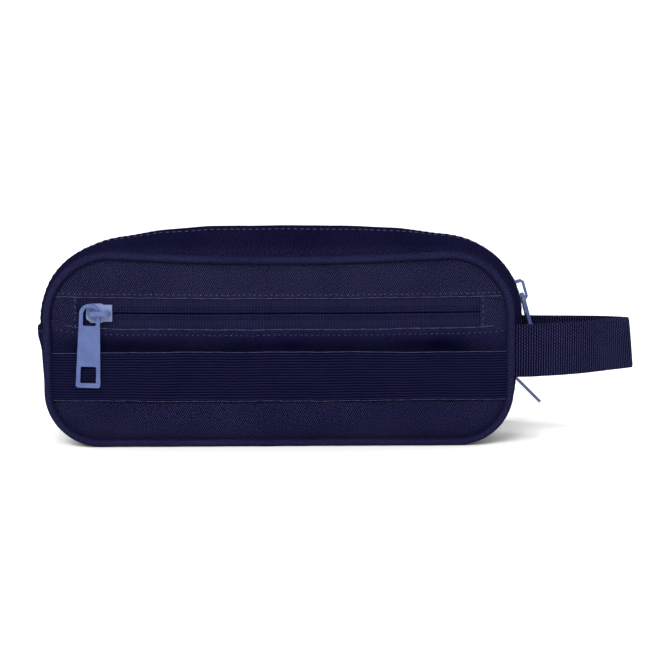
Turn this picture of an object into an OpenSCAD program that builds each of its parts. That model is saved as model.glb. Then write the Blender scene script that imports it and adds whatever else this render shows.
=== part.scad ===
// Soft pencil case with two zipped compartments, a zipped front pocket, an elastic band and a
// wrist loop. Millimetres. +X runs towards the wrist loop, -Y is the front, +Z is up.
// The origin is on the floor, under the middle of the body.

/* [Body] */
// Half the width of the front panel, measured to the piping seam
half_w = 107.8; // [100:0.1:116]
// Height of the seam above the floor along the bottom edge
seam_z_low = 2.4; // [2.4:0.1:3]
// Height of the seam above the floor at the ends of the top edge
seam_z_high = 89.5; // [84:0.5:96]
// How far the top edge of the panel sags in the middle
top_sag = 2.5; // [0:0.1:4]
// Corner radius of the seam at the bottom
corner_low = 24; // [20:1:26]
// Corner radius of the seam at the top
corner_high = 29; // [26:1:32]
// Depth from the middle of the body to the front seam, and to the rear seam
seam_y = 36; // [34:0.5:40]
// Depth of the seam that holds the divider
divider_y = 14; // [12:0.5:16]
// Thickness of the body fabric with its backing
fabric = 1.2; // [0.8:0.1:1.4]

/* [Puff] */
// How far the main compartment swells past its seams at the ends
puff_end = 8; // [6:0.5:9]
// How far the main compartment swells past its seams at the middle of the top
puff_top = 16; // [14:0.1:20]
// How far the rear compartment swells at the ends
puff_rear_end = 3; // [2.5:0.1:4]
// How far the rear compartment swells at the top
puff_rear_top = 7; // [5:0.5:8]

/* [Zips] */
// Height of the middle of the front pocket zip
pocket_z = 63; // [58:0.1:66]
// Half the height of the pocket zip window
window_half = 7.3; // [7:0.1:8]
// Half the length of the pocket zip window
window_x = 93.9; // [88:0.1:96]
// Half the width of tape left showing along the main zip
main_window = 6; // [5.5:0.1:6.5]
// Half the width of tape left showing along the rear zip
rear_window = 5; // [5:0.1:5.5]
// Tape thickness
tape = 0.6; // [0.5:0.1:0.7]
// Thickness of the nylon coil
coil = 2; // [1.8:0.1:2]
// Height at which the zips end on the left
left_end_z = 54; // [48:1:58]
// Angle below the corner's centre at which the zips end on the right
right_end_angle = 32; // [28:1:40]

/* [Sliders] */
// Angle above the upper corner's centre at which the main slider rests
main_slider_angle = 16; // [0:1:60]
// Height at which the rear slider rests
rear_slider_z = 28; // [28:1:44]
// Place of the pocket slider along the pocket zip
pocket_slider_x = -84; // [-84:0.5:83]
// Lean of the main pull from the vertical
main_pull_lean = 15; // [15:1:60]

/* [Band and loop] */
// Lower edge of the elastic band
band_z = 21.5; // [18:0.1:26]
// Width of the elastic band
band_w = 23.3; // [20:0.1:25]
// Lower edge of the wrist loop
loop_z = 31.9; // [30:0.1:36]
// Width of the wrist loop's webbing
loop_w = 25; // [20:1:25]
// Thickness of the wrist loop's webbing
loop_t = 1.4; // [1.2:0.1:1.8]
// How far the wrist loop reaches along X
loop_x = 170; // [150:1:180]

/* [Hidden] */

navy = [0.09, 0.09, 0.22];
deep_navy = [0.06, 0.06, 0.18];
sky_blue = [0.42, 0.5, 0.74];
grey = [0.6, 0.62, 0.66];

// Gaps between pieces that are sewn together, and where the lips part from the ends
seam_gap = 0.1;
lip_gap = 0.15;
// Radius of the piping bead, and where its centre sits from the seam
bead_r = 1.8;
bead_out = 0.4;
bead_y = seam_y + 1.6;
cord_r = 0.85;
// Distance of the panels' edges inside the seam
panel_inset = 1.45;
// Depth of the front pocket behind the panel
pocket_depth = 4.7;
lining = 0.8;
// Half the gap between the two tapes, which the sliders' posts run in, and the coil's far edge
tape_gap = 0.85;
coil_edge = 3;
tape_under = 3.5;

// Middles and half widths of the two compartments
main_y = (divider_y - seam_y) / 2;
main_half = (divider_y + seam_y) / 2;
rear_y = (divider_y + seam_y) / 2;
rear_half = (seam_y - divider_y) / 2;
flat_margin = 0.5;

// Distances along the seam outline, from the middle of the bottom edge, up the right-hand end
low_flat = half_w - corner_low;
d_side = low_flat + corner_low * PI / 2;
side_z = seam_z_low + corner_low;
arc_z = seam_z_high - corner_high;
d_arc = d_side + arc_z - side_z;
arc_x = half_w - corner_high;
d_top = d_arc + corner_high * PI / 2;
d_mid = d_top + arc_x;
d_all = 2 * d_mid;
d_left = d_all - (d_side + left_end_z - side_z);
d_right = d_side - corner_low * right_end_angle * PI / 180;

// Swell of each compartment against the distance along half the outline
main_swell = [[0, seam_z_low], [low_flat, seam_z_low], [d_side, 5], [d_side + 15, 7],
              [d_arc - 7, puff_end], [d_top - 5, puff_end], [d_top, puff_end + 1.2],
              [d_top + 22, puff_top - 2.6], [d_top + 42, puff_top - 0.8], [d_mid, puff_top]];
rear_swell = [[0, seam_z_low], [low_flat, seam_z_low], [d_side - 8, puff_rear_end],
              [d_arc, puff_rear_end], [d_top, puff_rear_end + 1.5], [d_mid, puff_rear_top]];
// How far the bottom's flat cross-section has given way to the two swells
swell_share = [[low_flat, 0], [d_side - 8, 1]];

function wrap(d) = d < 0 ? d + d_all : d > d_all ? d - d_all : d;
function half_way(d) = min(wrap(d), d_all - wrap(d));
function on_arc(cx, cz, r, a) = [cx + r * cos(a), cz + r * sin(a), cos(a), sin(a)];
function lower(d) = let (a = (d - low_flat) / corner_low * 180 / PI - 90)
    on_arc(low_flat, side_z, corner_low, a);
function upper(d) = on_arc(arc_x, arc_z, corner_high, (d - d_arc) / corner_high * 180 / PI);
function along_top(x) = [x, seam_z_high - top_sag * (1 - pow(x / arc_x, 2)), 0, 1];
// The right half of the seam outline at distance d, as [x, z, outward x, outward z]
function right_half(d) = d < low_flat ? [d, seam_z_low, 0, -1]
    : d < d_side ? lower(d)
    : d < d_arc ? [half_w, side_z + d - d_side, 1, 0]
    : d < d_top ? upper(d) : along_top(d_mid - d);
function outline(d) = let (p = right_half(half_way(d)), s = wrap(d) > d_mid ? -1 : 1)
    [s * p[0], p[1], s * p[2], p[3]];

// Cross-section of a swelling compartment: flat over the zip, then falling to its seams
function dome(y, mid, half, flat) = 1 - pow(max(0, abs(y - mid) - flat) / (half - flat), 2);
function shape(y) = y < divider_y
    ? dome(y, main_y, main_half, main_window + flat_margin)
    : dome(y, rear_y, rear_half, rear_window + flat_margin);
function swell(d, y) = lookup(half_way(d), y < divider_y ? main_swell : rear_swell);
function flat_edge(y) = min(1, (seam_y - abs(y)) / 2);
function puff(d, y) = let (share = lookup(half_way(d), swell_share))
    (1 - share) * seam_z_low * flat_edge(y) + share * swell(d, y) * max(0, shape(y));

// A point of the gusset's skin, sunk below its surface by down
function skin(d, y, down) =
    let (o = outline(d), r = puff(d, y), h = 0.05)
    let (slope = (puff(d, y + h) - puff(d, y - h)) / (2 * h), n = sqrt(1 + slope * slope))
    [o[0] + o[2] * (r - down / n), y + down * slope / n, o[1] + o[3] * (r - down / n)];

function steps(a, b, n) = [for (i = [0:n]) a + (b - a) * i / n];
function quad(a, b, c, e) = [[a, b, c], [a, c, e]];

// A closed sheet over the distances ds and the depths ys, from top to bottom below the skin
module sheet(ds, ys, top, bottom) {
    nd = len(ds);
    ny = len(ys);
    n = nd * ny;
    points = [for (down = [top, bottom]) for (d = ds) for (y = ys) skin(d, y, down)];
    faces = [
        for (i = [0:nd - 2]) for (j = [0:ny - 2])
            let (a = i * ny + j, b = a + ny)
            each concat(quad(a, b, b + 1, a + 1), quad(n + a, n + a + 1, n + b + 1, n + b)),
        for (i = [0:nd - 2])
            let (a = i * ny, b = a + ny, e = a + ny - 1, f = e + ny)
            each concat(quad(a, n + a, n + b, b), quad(e, f, n + f, n + e)),
        for (j = [0:ny - 2])
            let (a = j, b = (nd - 1) * ny + j)
            each concat(quad(a, a + 1, n + a + 1, n + a), quad(b, n + b, n + b + 1, b + 1))];
    polyhedron(points, faces, convexity = 6);
}

right_end = concat(steps(d_right + seam_gap, d_side, 4), steps(d_side + 8.5, d_arc, 3),
                   steps(d_arc + 5, d_top - lip_gap, 9));
top_run = steps(d_top + lip_gap, d_all - d_top - lip_gap, 14);
left_end = concat(steps(d_all - d_top + lip_gap, d_all - d_arc, 9), [d_left - seam_gap]);
whole_run = concat(right_end, top_run, left_end);

module ends_sheet(ys, top, bottom) {
    sheet(right_end, ys, top, bottom);
    sheet(left_end, ys, top, bottom);
}

front_edge = -seam_y + 0.3;
front_ys = steps(front_edge, main_y - main_window, 6);
middle_ys = steps(main_y + main_window, divider_y - seam_gap, 6);
inner_ys = steps(divider_y + seam_gap, rear_y - rear_window, 3);
outer_ys = steps(rear_y + rear_window, -front_edge, 3);

module front_strip_ends() { color(navy) ends_sheet(front_ys, 0, fabric); }
module front_strip_top() { color(navy) sheet(top_run, front_ys, 0, fabric); }
module middle_strip_ends() { color(navy) ends_sheet(middle_ys, 0, fabric); }
module middle_strip_top() { color(navy) sheet(top_run, middle_ys, 0, fabric); }
module rear_inner_strip() { color(navy) sheet(whole_run, inner_ys, 0, fabric); }
module rear_outer_strip_ends() { color(navy) ends_sheet(outer_ys, 0, fabric); }
module rear_outer_strip_top() { color(navy) sheet(top_run, outer_ys, 0, fabric); }

// Depths of a tape and of a coil on one side of a zip whose middle is at mid
function tape_ys(mid, side, window) = let (near = mid + side * tape_gap,
    far = mid + side * (window + (window > rear_window ? tape_under : 1.5)))
    steps(min(near, far), max(near, far), 2);
function coil_ys(mid, side) = let (near = mid + side * tape_gap, far = mid + side * coil_edge)
    [min(near, far), max(near, far)];
under = fabric + seam_gap;

module main_tape_front_ends() {
    color(deep_navy) ends_sheet(tape_ys(main_y, -1, main_window), under, under + tape);
}
module main_tape_front_top() {
    color(deep_navy) sheet(top_run, tape_ys(main_y, -1, main_window), under, under + tape);
}
module main_tape_rear_ends() {
    color(deep_navy) ends_sheet(tape_ys(main_y, 1, main_window), under, under + tape);
}
module main_tape_rear_top() {
    color(deep_navy) sheet(top_run, tape_ys(main_y, 1, main_window), under, under + tape);
}
module rear_tape_inner() {
    color(deep_navy) sheet(whole_run, tape_ys(rear_y, -1, rear_window), under, under + tape);
}
module rear_tape_outer_ends() {
    color(deep_navy) ends_sheet(tape_ys(rear_y, 1, rear_window), under, under + tape);
}
module rear_tape_outer_top() {
    color(deep_navy) sheet(top_run, tape_ys(rear_y, 1, rear_window), under, under + tape);
}

coil_top = under + tape;
module main_coil_front_ends() {
    color(deep_navy) ends_sheet(coil_ys(main_y, -1), coil_top, coil_top + coil);
}
module main_coil_front_top() {
    color(deep_navy) sheet(top_run, coil_ys(main_y, -1), coil_top, coil_top + coil);
}
module main_coil_rear_ends() {
    color(deep_navy) ends_sheet(coil_ys(main_y, 1), coil_top, coil_top + coil);
}
module main_coil_rear_top() {
    color(deep_navy) sheet(top_run, coil_ys(main_y, 1), coil_top, coil_top + coil);
}
module rear_coil_inner() {
    color(deep_navy) sheet(whole_run, coil_ys(rear_y, -1), coil_top, coil_top + coil);
}
module rear_coil_outer_ends() {
    color(deep_navy) ends_sheet(coil_ys(rear_y, 1), coil_top, coil_top + coil);
}
module rear_coil_outer_top() {
    color(deep_navy) sheet(top_run, coil_ys(rear_y, 1), coil_top, coil_top + coil);
}

// Stitched bars across the coils at both ends of a zip, on the inside
module stops(mid) {
    bar = coil_top + coil + seam_gap;
    for (d = [d_right + 2, d_left - 4])
        sheet([d, d + 2], [mid - coil_edge, mid + coil_edge], bar, bar + 1);
}
module main_zip_stops() { color(grey) stops(main_y); }
module rear_zip_stops() { color(grey) stops(rear_y); }

// One piece of fabric from the zips' left end, under the body, to their right end
gusset_ys = concat([front_edge, -34], steps(-31, main_y - main_window, 3),
                   [main_y + main_window, 1, 7, 11, divider_y, 17],
                   [rear_y - rear_window, rear_y + rear_window, 33, 34, -front_edge]);
gusset_run = concat([d_left + seam_gap], steps(d_all - d_side - 14, d_all - d_side, 2),
                    steps(d_all - d_side + 6, d_all - low_flat, 5), [d_all],
                    steps(d_all + low_flat, d_all + d_right - seam_gap, 4));
module bottom_gusset() { color(navy) sheet(gusset_run, gusset_ys, 0, fabric); }

// Folded hems that cover the ends of the zips, outside the strips
hem = 5;
hem_gap = 0.45;
hem_ys = [for (y = gusset_ys) if (abs(y) < 34.5) y];
module hem_sheet(a, b) {
    color(navy) sheet(steps(a, b, 3), hem_ys, -fabric - hem_gap, -hem_gap);
}
module gusset_hem_left() { hem_sheet(d_left - 2, d_left + hem); }
module gusset_hem_right() { hem_sheet(d_right - hem, d_right + 1.5); }

// Flat panels cut to the seam outline, inset by a distance
panel_ds = concat(steps(0, low_flat, 1), steps(low_flat + 3, d_side, 10), [d_arc],
                  steps(d_arc + 4, d_top, 9), steps(d_top + 13, d_mid, 4));
function inset_point(d, inset) = let (o = outline(d)) [o[0] - o[2] * inset, o[1] - o[3] * inset];
module panel_shape(inset) {
    right = [for (d = panel_ds) inset_point(d, inset)];
    left = [for (i = [len(right) - 2:-1:1]) [-right[i][0], right[i][1]]];
    polygon(concat(right, left));
}
// A panel whose low-y face is at y
module panel(y, thick, inset) {
    translate([0, y + thick, 0]) rotate([90, 0, 0]) linear_extrude(thick) panel_shape(inset);
}
module slab(x0, x1, y0, y1, z0, z1) {
    translate([x0, y0, z0]) cube([x1 - x0, y1 - y0, z1 - z0]);
}
wide = half_w + 10;
tall = seam_z_high + 10;
panel_front = -seam_y - fabric;

module front_panel_upper() {
    color(navy) intersection() {
        panel(panel_front, fabric, panel_inset);
        slab(-wide, wide, -50, 0, pocket_z + window_half, tall);
    }
}
module front_panel_lower() {
    color(navy) intersection() {
        panel(panel_front, fabric, panel_inset);
        slab(-wide, wide, -50, 0, -5, pocket_z - window_half);
    }
}
module pocket_cover(side) {
    color(navy) intersection() {
        panel(panel_front, fabric, panel_inset);
        slab(side < 0 ? -wide : window_x, side < 0 ? -window_x : wide, -50, 0,
             pocket_z - window_half + seam_gap, pocket_z + window_half - seam_gap);
    }
}
module pocket_cover_left() { pocket_cover(-1); }
module pocket_cover_right() { pocket_cover(1); }

tape_x = window_x + 4;
module pocket_tape(side) {
    edge = window_half + tape_under;
    color(deep_navy) translate([0, 0, pocket_z])
        slab(-tape_x, tape_x, -seam_y, -seam_y + tape, side < 0 ? -edge : tape_gap,
             side < 0 ? -tape_gap : edge);
}
module pocket_tape_upper() { pocket_tape(1); }
module pocket_tape_lower() { pocket_tape(-1); }

coil_x = window_x - 3;
module pocket_coil(side) {
    color(deep_navy) translate([0, 0, pocket_z])
        slab(-coil_x, coil_x, -seam_y + tape, -seam_y + tape + coil,
             side < 0 ? -coil_edge : tape_gap, side < 0 ? -tape_gap : coil_edge);
}
module pocket_coil_upper() { pocket_coil(1); }
module pocket_coil_lower() { pocket_coil(-1); }
module pocket_stops() {
    color(grey) for (x = [-coil_x - 2, coil_x + 0.1])
        slab(x, x + 1.9, -seam_y + tape, -seam_y + tape + coil,
             pocket_z - coil_edge, pocket_z + coil_edge);
}

// A shallow bag of lining behind the front panel, open towards it
module pocket_lining() {
    front = -seam_y + seam_gap;
    back = front + pocket_depth;
    color(grey) difference() {
        panel(front, pocket_depth + lining, panel_inset + 1);
        panel(front - 1, pocket_depth + 1, panel_inset + 1 + lining);
        slab(-tape_x - 0.5, tape_x + 0.5, front - 1, front + tape, pocket_z - window_half - 5,
             pocket_z + window_half + 5);
    }
}

band_x = half_w - panel_inset - 1;
module elastic_band() {
    color(deep_navy) slab(-band_x, band_x, panel_front - 0.9, panel_front - seam_gap, band_z,
                          band_z + band_w);
}
module rear_panel() { color(navy) panel(seam_y, fabric, panel_inset); }
module divider_panel() { color(grey) panel(divider_y - 0.5, 1, panel_inset + 1.2); }

// A closed ring of round section that follows the seam, with its centre out from the seam
module ring(y, out, r, sides) {
    right = [for (d = panel_ds) d];
    ds = concat(right, [for (i = [len(right) - 2:-1:1]) d_all - right[i]]);
    nd = len(ds);
    points = [for (d = ds) let (o = outline(d)) for (k = [0:sides - 1])
        let (a = 360 * k / sides, q = out + r * cos(a))
        [o[0] + o[2] * q, y + r * sin(a), o[1] + o[3] * q]];
    faces = [for (i = [0:nd - 1]) for (k = [0:sides - 1])
        let (a = i * sides, b = ((i + 1) % nd) * sides, m = (k + 1) % sides)
        each quad(a + k, b + k, b + m, a + m)];
    polyhedron(points, faces, convexity = 6);
}
module piping(y) {
    color(navy) difference() {
        ring(y, bead_out, bead_r, 10);
        ring(y, bead_out, cord_r + 0.1, 6);
    }
}
module piping_front() { piping(-bead_y); }
module piping_rear() { piping(bead_y); }
module piping_cord_front() { color(grey) ring(-bead_y, bead_out, cord_r, 6); }
module piping_cord_rear() { color(grey) ring(bead_y, bead_out, cord_r, 6); }

// Webbing in plan: two runs from the front and divider seams to a fold at the tip
function bow(a, b, c, t) = (1 - t) * (1 - t) * a + 2 * t * (1 - t) * b + t * t * c;
loop_tip_y = -9;
loop_front = [for (t = steps(0, 1, 8))
    bow([half_w + 2.8, -seam_y + 1.6], [140, -33], [loop_x - 1, loop_tip_y - 1.4], t)];
loop_rear = [for (t = steps(0, 1, 8))
    bow([loop_x - 1, loop_tip_y + 1.4], [140, 9], [half_w + 1.5, divider_y - 0.6], t)];
module wrist_loop() {
    outside = concat(loop_front, [[loop_x, loop_tip_y]], loop_rear);
    color(deep_navy) translate([0, 0, loop_z]) linear_extrude(loop_w) difference() {
        polygon(outside);
        offset(delta = -loop_t) polygon(concat([[half_w - 20, -seam_y + 1.6]], outside,
                                               [[half_w - 20, divider_y - 0.6]]));
    }
}

// Slider, in its own frame: x along the zip with the nose at -x, z outwards, and the origin
// on the tape's outer face
plate_low = 0.35;
plate_top = 1.55;
half_len = 6;
half_wide = 4.5;
nose_half = 2.6;
tail_half = 3.9;
inner_top = -tape - coil - 0.95;
inner_t = 1.1;
bridge_gap = 3;
bridge_t = 1.2;
bridge_half = 1.1;
bridge_in = 3.6;
bridge_out = 5.2;
module plate_shape() {
    polygon([[-half_len, -nose_half], [-half_len + 2.4, -half_wide], [1, -half_wide],
             [2, -tail_half], [half_len, -tail_half], [half_len, tail_half], [2, tail_half],
             [1, half_wide], [-half_len + 2.4, half_wide], [-half_len, nose_half]]);
}
module slider_body() {
    color(sky_blue) difference() {
        union() {
            translate([0, 0, plate_low]) linear_extrude(plate_top - plate_low) plate_shape();
            translate([0, 0, inner_top - inner_t]) linear_extrude(inner_t) plate_shape();
            for (s = [-1, 1])
                slab(-3.4, 1, s < 0 ? -half_wide : 3.5, s < 0 ? -3.5 : half_wide,
                     inner_top - 0.1, -tape - 0.4);
            slab(-half_len, -3.6, -0.6, 0.6, inner_top - 0.1, plate_low + 0.1);
        }
        translate([2.4, 0, plate_low - 1]) cylinder(h = 4, d = 1.1, $fn = 24);
    }
}
module slider_bridge() {
    top = plate_top + bridge_gap + bridge_t;
    color(sky_blue) rotate([90, 0, 0]) translate([0, 0, -bridge_half])
        linear_extrude(2 * bridge_half) difference() {
            polygon([[-bridge_out, plate_top], [bridge_out, plate_top],
                     [bridge_out, top - 1.4], [bridge_out - 1.4, top],
                     [1.4 - bridge_out, top], [-bridge_out, top - 1.4]]);
            polygon([[-bridge_in, 0], [bridge_in, 0], [bridge_in, top - bridge_t - 0.6],
                     [bridge_in - 0.6, top - bridge_t], [0.6 - bridge_in, top - bridge_t],
                     [-bridge_in, top - bridge_t - 0.6]]);
        }
}
module lock_spring() {
    color(grey) {
        slab(-3.3, 3.3, -0.8, 0.8, plate_top, plate_top + 0.15);
        translate([2.4, 0, -0.4]) cylinder(h = plate_top + 0.5, d = 0.8, $fn = 24);
    }
}

// Pull tab, in its own frame: the tab hangs along -y from an eye whose middle is at the
// origin, and its faces are at z = -pull_t / 2 and pull_t / 2
pull_t = 1.6;
eye_top = 2.8;
eye_low = -5.7;
eye_half = 3.05;
eye_bar = 1.75;
pull_len = 39.2;
pull_top_half = 4.75;
pull_end_half = 5.7;
function pull_half(y) = pull_top_half + (pull_end_half - pull_top_half) * -y / 34;
module rounded(r) { offset(r = r, $fn = 24) offset(delta = -r) children(); }
module pull_tab() {
    end = eye_top + eye_bar - pull_len;
    hole_low = end + 2.1;
    hole_top = hole_low + 7.8;
    color(sky_blue) translate([0, 0, -pull_t / 2]) linear_extrude(pull_t) difference() {
        union() {
            rounded(1.2) polygon([[-pull_half(0), 0], [pull_half(0), 0],
                                  [pull_half(end), end], [-pull_half(end), end]]);
            intersection() {
                scale([1, (eye_top + eye_bar) / pull_half(0)]) circle(pull_half(0), $fn = 40);
                translate([-10, -2]) square([20, 20]);
            }
            translate([-pull_half(0), -4]) square([2 * pull_half(0), 4]);
        }
        rounded(0.9) polygon([[-eye_half, eye_low], [eye_half, eye_low], [eye_half, 0.4],
                              [1.9, eye_top], [-1.9, eye_top], [-eye_half, 0.4]]);
        rounded(0.6) polygon([[-3.7, hole_low], [3.7, hole_low], [3.6, hole_top],
                              [-3.6, hole_top]]);
    }
}
eye_z = plate_top + bridge_gap / 2 + 0.1;

module at_pocket() { translate([pocket_slider_x, -seam_y, pocket_z]) rotate([90, 0, 0]) children(); }
module pocket_slider_body() { at_pocket() slider_body(); }
module pocket_slider_bridge() { at_pocket() slider_bridge(); }
module pocket_lock_spring() { at_pocket() lock_spring(); }
leg_x = -(bridge_in + bridge_out) / 2;
module pocket_pull() { at_pocket() translate([leg_x + 0.2, 0, eye_z]) rotate([0, 0, -2]) pull_tab(); }

// Turns a slider's frame so that x points up the right-hand end and z points out along +X
module upright() { rotate([0, 90, 0]) rotate([0, 0, 180]) children(); }
main_r = corner_high + puff_end - under;
module at_main() {
    translate([arc_x, main_y, arc_z]) rotate([0, -main_slider_angle, 0])
        translate([main_r, 0, 0]) upright() children();
}
module main_slider_body() { at_main() slider_body(); }
module main_slider_bridge() { at_main() slider_bridge(); }
module main_lock_spring() { at_main() lock_spring(); }
// The main pull's eye is round the lower leg of its bridge
crossbar = eye_top + eye_bar / 2;
module main_pull() {
    at_main() translate([-bridge_in + 1.4, 0, eye_z])
        rotate([0, main_pull_lean - main_slider_angle, 0]) rotate([0, 0, -90])
            translate([0, -crossbar, 0]) pull_tab();
}

rear_tape_x = half_w + puff_rear_end - under;
module at_rear() { translate([rear_tape_x, rear_y, rear_slider_z]) upright() children(); }
module rear_slider_body() { at_rear() slider_body(); }
module rear_slider_bridge() { at_rear() slider_bridge(); }
module rear_lock_spring() { at_rear() lock_spring(); }
// The rear pull sticks out and down, and fans back round its bridge
rear_fan = 47;
bridge_mid = plate_top + bridge_gap + bridge_t / 2;
module rear_pull() {
    at_rear() translate([0, 0, bridge_mid]) rotate([0, 45, 0]) rotate([0, 0, -90 + rear_fan])
        translate([-0.9, 0, 0]) pull_tab();
}

front_panel_upper();
front_panel_lower();
pocket_cover_left();
pocket_cover_right();
pocket_tape_upper();
pocket_tape_lower();
pocket_coil_upper();
pocket_coil_lower();
pocket_stops();
pocket_lining();
elastic_band();
rear_panel();
divider_panel();
bottom_gusset();
gusset_hem_left();
gusset_hem_right();
front_strip_ends();
front_strip_top();
middle_strip_ends();
middle_strip_top();
rear_inner_strip();
rear_outer_strip_ends();
rear_outer_strip_top();
main_tape_front_ends();
main_tape_front_top();
main_tape_rear_ends();
main_tape_rear_top();
rear_tape_inner();
rear_tape_outer_ends();
rear_tape_outer_top();
main_coil_front_ends();
main_coil_front_top();
main_coil_rear_ends();
main_coil_rear_top();
rear_coil_inner();
rear_coil_outer_ends();
rear_coil_outer_top();
main_zip_stops();
rear_zip_stops();
piping_front();
piping_rear();
piping_cord_front();
piping_cord_rear();
wrist_loop();
pocket_slider_body();
pocket_slider_bridge();
pocket_lock_spring();
pocket_pull();
main_slider_body();
main_slider_bridge();
main_lock_spring();
main_pull();
rear_slider_body();
rear_slider_bridge();
rear_lock_spring();
rear_pull();
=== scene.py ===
import bpy
import math
import numpy as np
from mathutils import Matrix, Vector


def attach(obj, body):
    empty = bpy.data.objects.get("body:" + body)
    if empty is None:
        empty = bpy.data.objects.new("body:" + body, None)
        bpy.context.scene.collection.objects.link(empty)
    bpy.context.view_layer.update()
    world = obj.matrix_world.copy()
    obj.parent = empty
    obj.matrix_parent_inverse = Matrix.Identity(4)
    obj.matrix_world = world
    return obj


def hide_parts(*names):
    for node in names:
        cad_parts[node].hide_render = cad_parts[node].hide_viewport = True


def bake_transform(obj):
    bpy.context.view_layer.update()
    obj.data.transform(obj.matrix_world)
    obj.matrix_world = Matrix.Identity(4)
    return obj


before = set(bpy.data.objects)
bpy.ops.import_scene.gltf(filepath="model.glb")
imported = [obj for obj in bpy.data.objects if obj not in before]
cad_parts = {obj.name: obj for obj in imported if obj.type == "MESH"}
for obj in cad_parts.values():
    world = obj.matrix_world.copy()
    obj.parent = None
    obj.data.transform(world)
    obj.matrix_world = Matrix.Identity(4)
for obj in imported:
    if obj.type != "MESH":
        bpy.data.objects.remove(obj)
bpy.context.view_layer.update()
MM = 0.001

# ---------------------------------------------------------------- shape, as in part.scad
HALF_W, Z_LOW, Z_HIGH, SAG = 107.8, 2.4, 89.5, 2.5
R_LOW, R_HIGH, SEAM_Y, DIV_Y, FABRIC = 24.0, 29.0, 36.0, 14.0, 1.2
MAIN_Y, MAIN_HALF, REAR_Y, REAR_HALF = -11.0, 25.0, 25.0, 11.0
MAIN_WIN, REAR_WIN = 6.0, 5.0
POCKET_Z, WIN_HALF, WIN_X = 63.0, 7.3, 93.9
LEFT_END, RIGHT_ANGLE = 54.0, 32.0

# Distances along the outline, from the middle of the floor round by the right-hand end.
FLAT = HALF_W - R_LOW
D_SIDE = FLAT + R_LOW * math.pi / 2
SIDE_Z = Z_LOW + R_LOW
ARC_Z = Z_HIGH - R_HIGH
D_ARC = D_SIDE + ARC_Z - SIDE_Z
ARC_X = HALF_W - R_HIGH
D_TOP = D_ARC + R_HIGH * math.pi / 2
D_MID = D_TOP + ARC_X
D_ALL = 2 * D_MID
TOP_L = D_ALL - D_TOP
D_LEFT = D_ALL - (D_SIDE + LEFT_END - SIDE_Z)
D_RIGHT = D_SIDE - R_LOW * math.radians(RIGHT_ANGLE)

# How far the gusset stands out from the seams, as (distance, height).
MAIN_SWELL = [(0, Z_LOW), (FLAT, Z_LOW), (D_SIDE, 5), (D_SIDE + 15, 7), (D_ARC - 7, 8),
              (D_TOP - 2, 8), (D_TOP + 4, 9.0), (D_TOP + 12, 10.9), (D_TOP + 22, 13.2),
              (D_TOP + 42, 15.2), (D_MID, 16.0)]
REAR_SWELL = [(0, Z_LOW), (FLAT, Z_LOW), (D_SIDE - 8, 3), (D_ARC, 3), (D_TOP, 4.5), (D_MID, 7)]
# The share of that swell which is missing towards the left-hand end, as (distance, share).
SLACK = [(TOP_L - 46, 0), (TOP_L - 22, 0.07), (TOP_L - 2, 0.17), (TOP_L + 10, 0.36),
         (D_ALL - D_ARC - 8, 0.36), (D_ALL - D_ARC, 0.28), (D_ALL - D_ARC + 12, 0.25),
         (D_ALL - D_SIDE, 0.18), (D_ALL - FLAT - 8, 0.0)]
CROWN_DROP = 2.0


def table(pairs, blur=5.0):
    """A lookup along half the outline, with its corners rounded off."""
    x = np.linspace(-60, D_MID + 60, 1500)
    half = np.where(x < 0, -x, np.where(x > D_MID, 2 * D_MID - x, x))
    y = np.interp(half, *zip(*pairs))
    k = np.exp(-0.5 * (np.arange(-60, 61) * (x[1] - x[0]) / blur) ** 2)
    return x, np.convolve(y, k / k.sum(), "same")


MAIN_TABLE = table(MAIN_SWELL)
REAR_TABLE = table(REAR_SWELL)
SHARE_TABLE = table([(FLAT, 0), (D_SIDE - 8, 1)], 4.0)


def smooth(t):
    return t * t * (3 - 2 * t)


def half_way(d):
    """Distance from the middle of the floor, whichever way round is shorter."""
    d = np.mod(d, D_ALL)
    return np.minimum(d, D_ALL - d)


def settle(d, y):
    """The share of the swell that is left, and how far the crown drops beside the zip."""
    slack = np.interp(np.mod(d, D_ALL), *zip(*SLACK))
    over = smooth(np.clip((half_way(d) - D_TOP - 4) / 34.0, 0, 1))
    dy = np.abs(y - MAIN_Y)
    rise = (1 - np.cos(math.pi * np.clip((dy - 1) / 14, 0, 1))) / 2
    fall = (1 + np.cos(math.pi * np.clip((dy - 15) / 10, 0, 1))) / 2
    return 1 - slack, CROWN_DROP * over * rise * fall


def outline(d):
    """Seam outline at distance d: x, z and the outward direction's x, z."""
    d = np.mod(np.asarray(d, float), D_ALL)
    s = np.where(d > D_MID, -1.0, 1.0)
    h = np.minimum(d, D_ALL - d)
    a1 = (h - FLAT) / R_LOW - math.pi / 2
    a2 = (h - D_ARC) / R_HIGH
    xt = D_MID - h
    part = [h < FLAT, h < D_SIDE, h < D_ARC, h < D_TOP]
    x = np.select(part, [h, FLAT + R_LOW * np.cos(a1), HALF_W + 0 * h,
                         ARC_X + R_HIGH * np.cos(a2)], xt)
    z = np.select(part, [Z_LOW + 0 * h, SIDE_Z + R_LOW * np.sin(a1), SIDE_Z + h - D_SIDE,
                         ARC_Z + R_HIGH * np.sin(a2)], Z_HIGH - SAG * (1 - (xt / ARC_X) ** 2))
    nx = np.select(part, [0 * h, np.cos(a1), 1 + 0 * h, np.cos(a2)], 0.0)
    nz = np.select(part, [-1 + 0 * h, np.sin(a1), 0 * h, np.sin(a2)], 1.0)
    return s * x, z, s * nx, nz


def dome(y, mid, half, flat):
    """Swell across one compartment: 1 beside its zip, falling to 0 at its seams."""
    return np.maximum(0, 1 - (np.maximum(0, np.abs(y - mid) - flat) / (half - flat)) ** 2)


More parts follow.
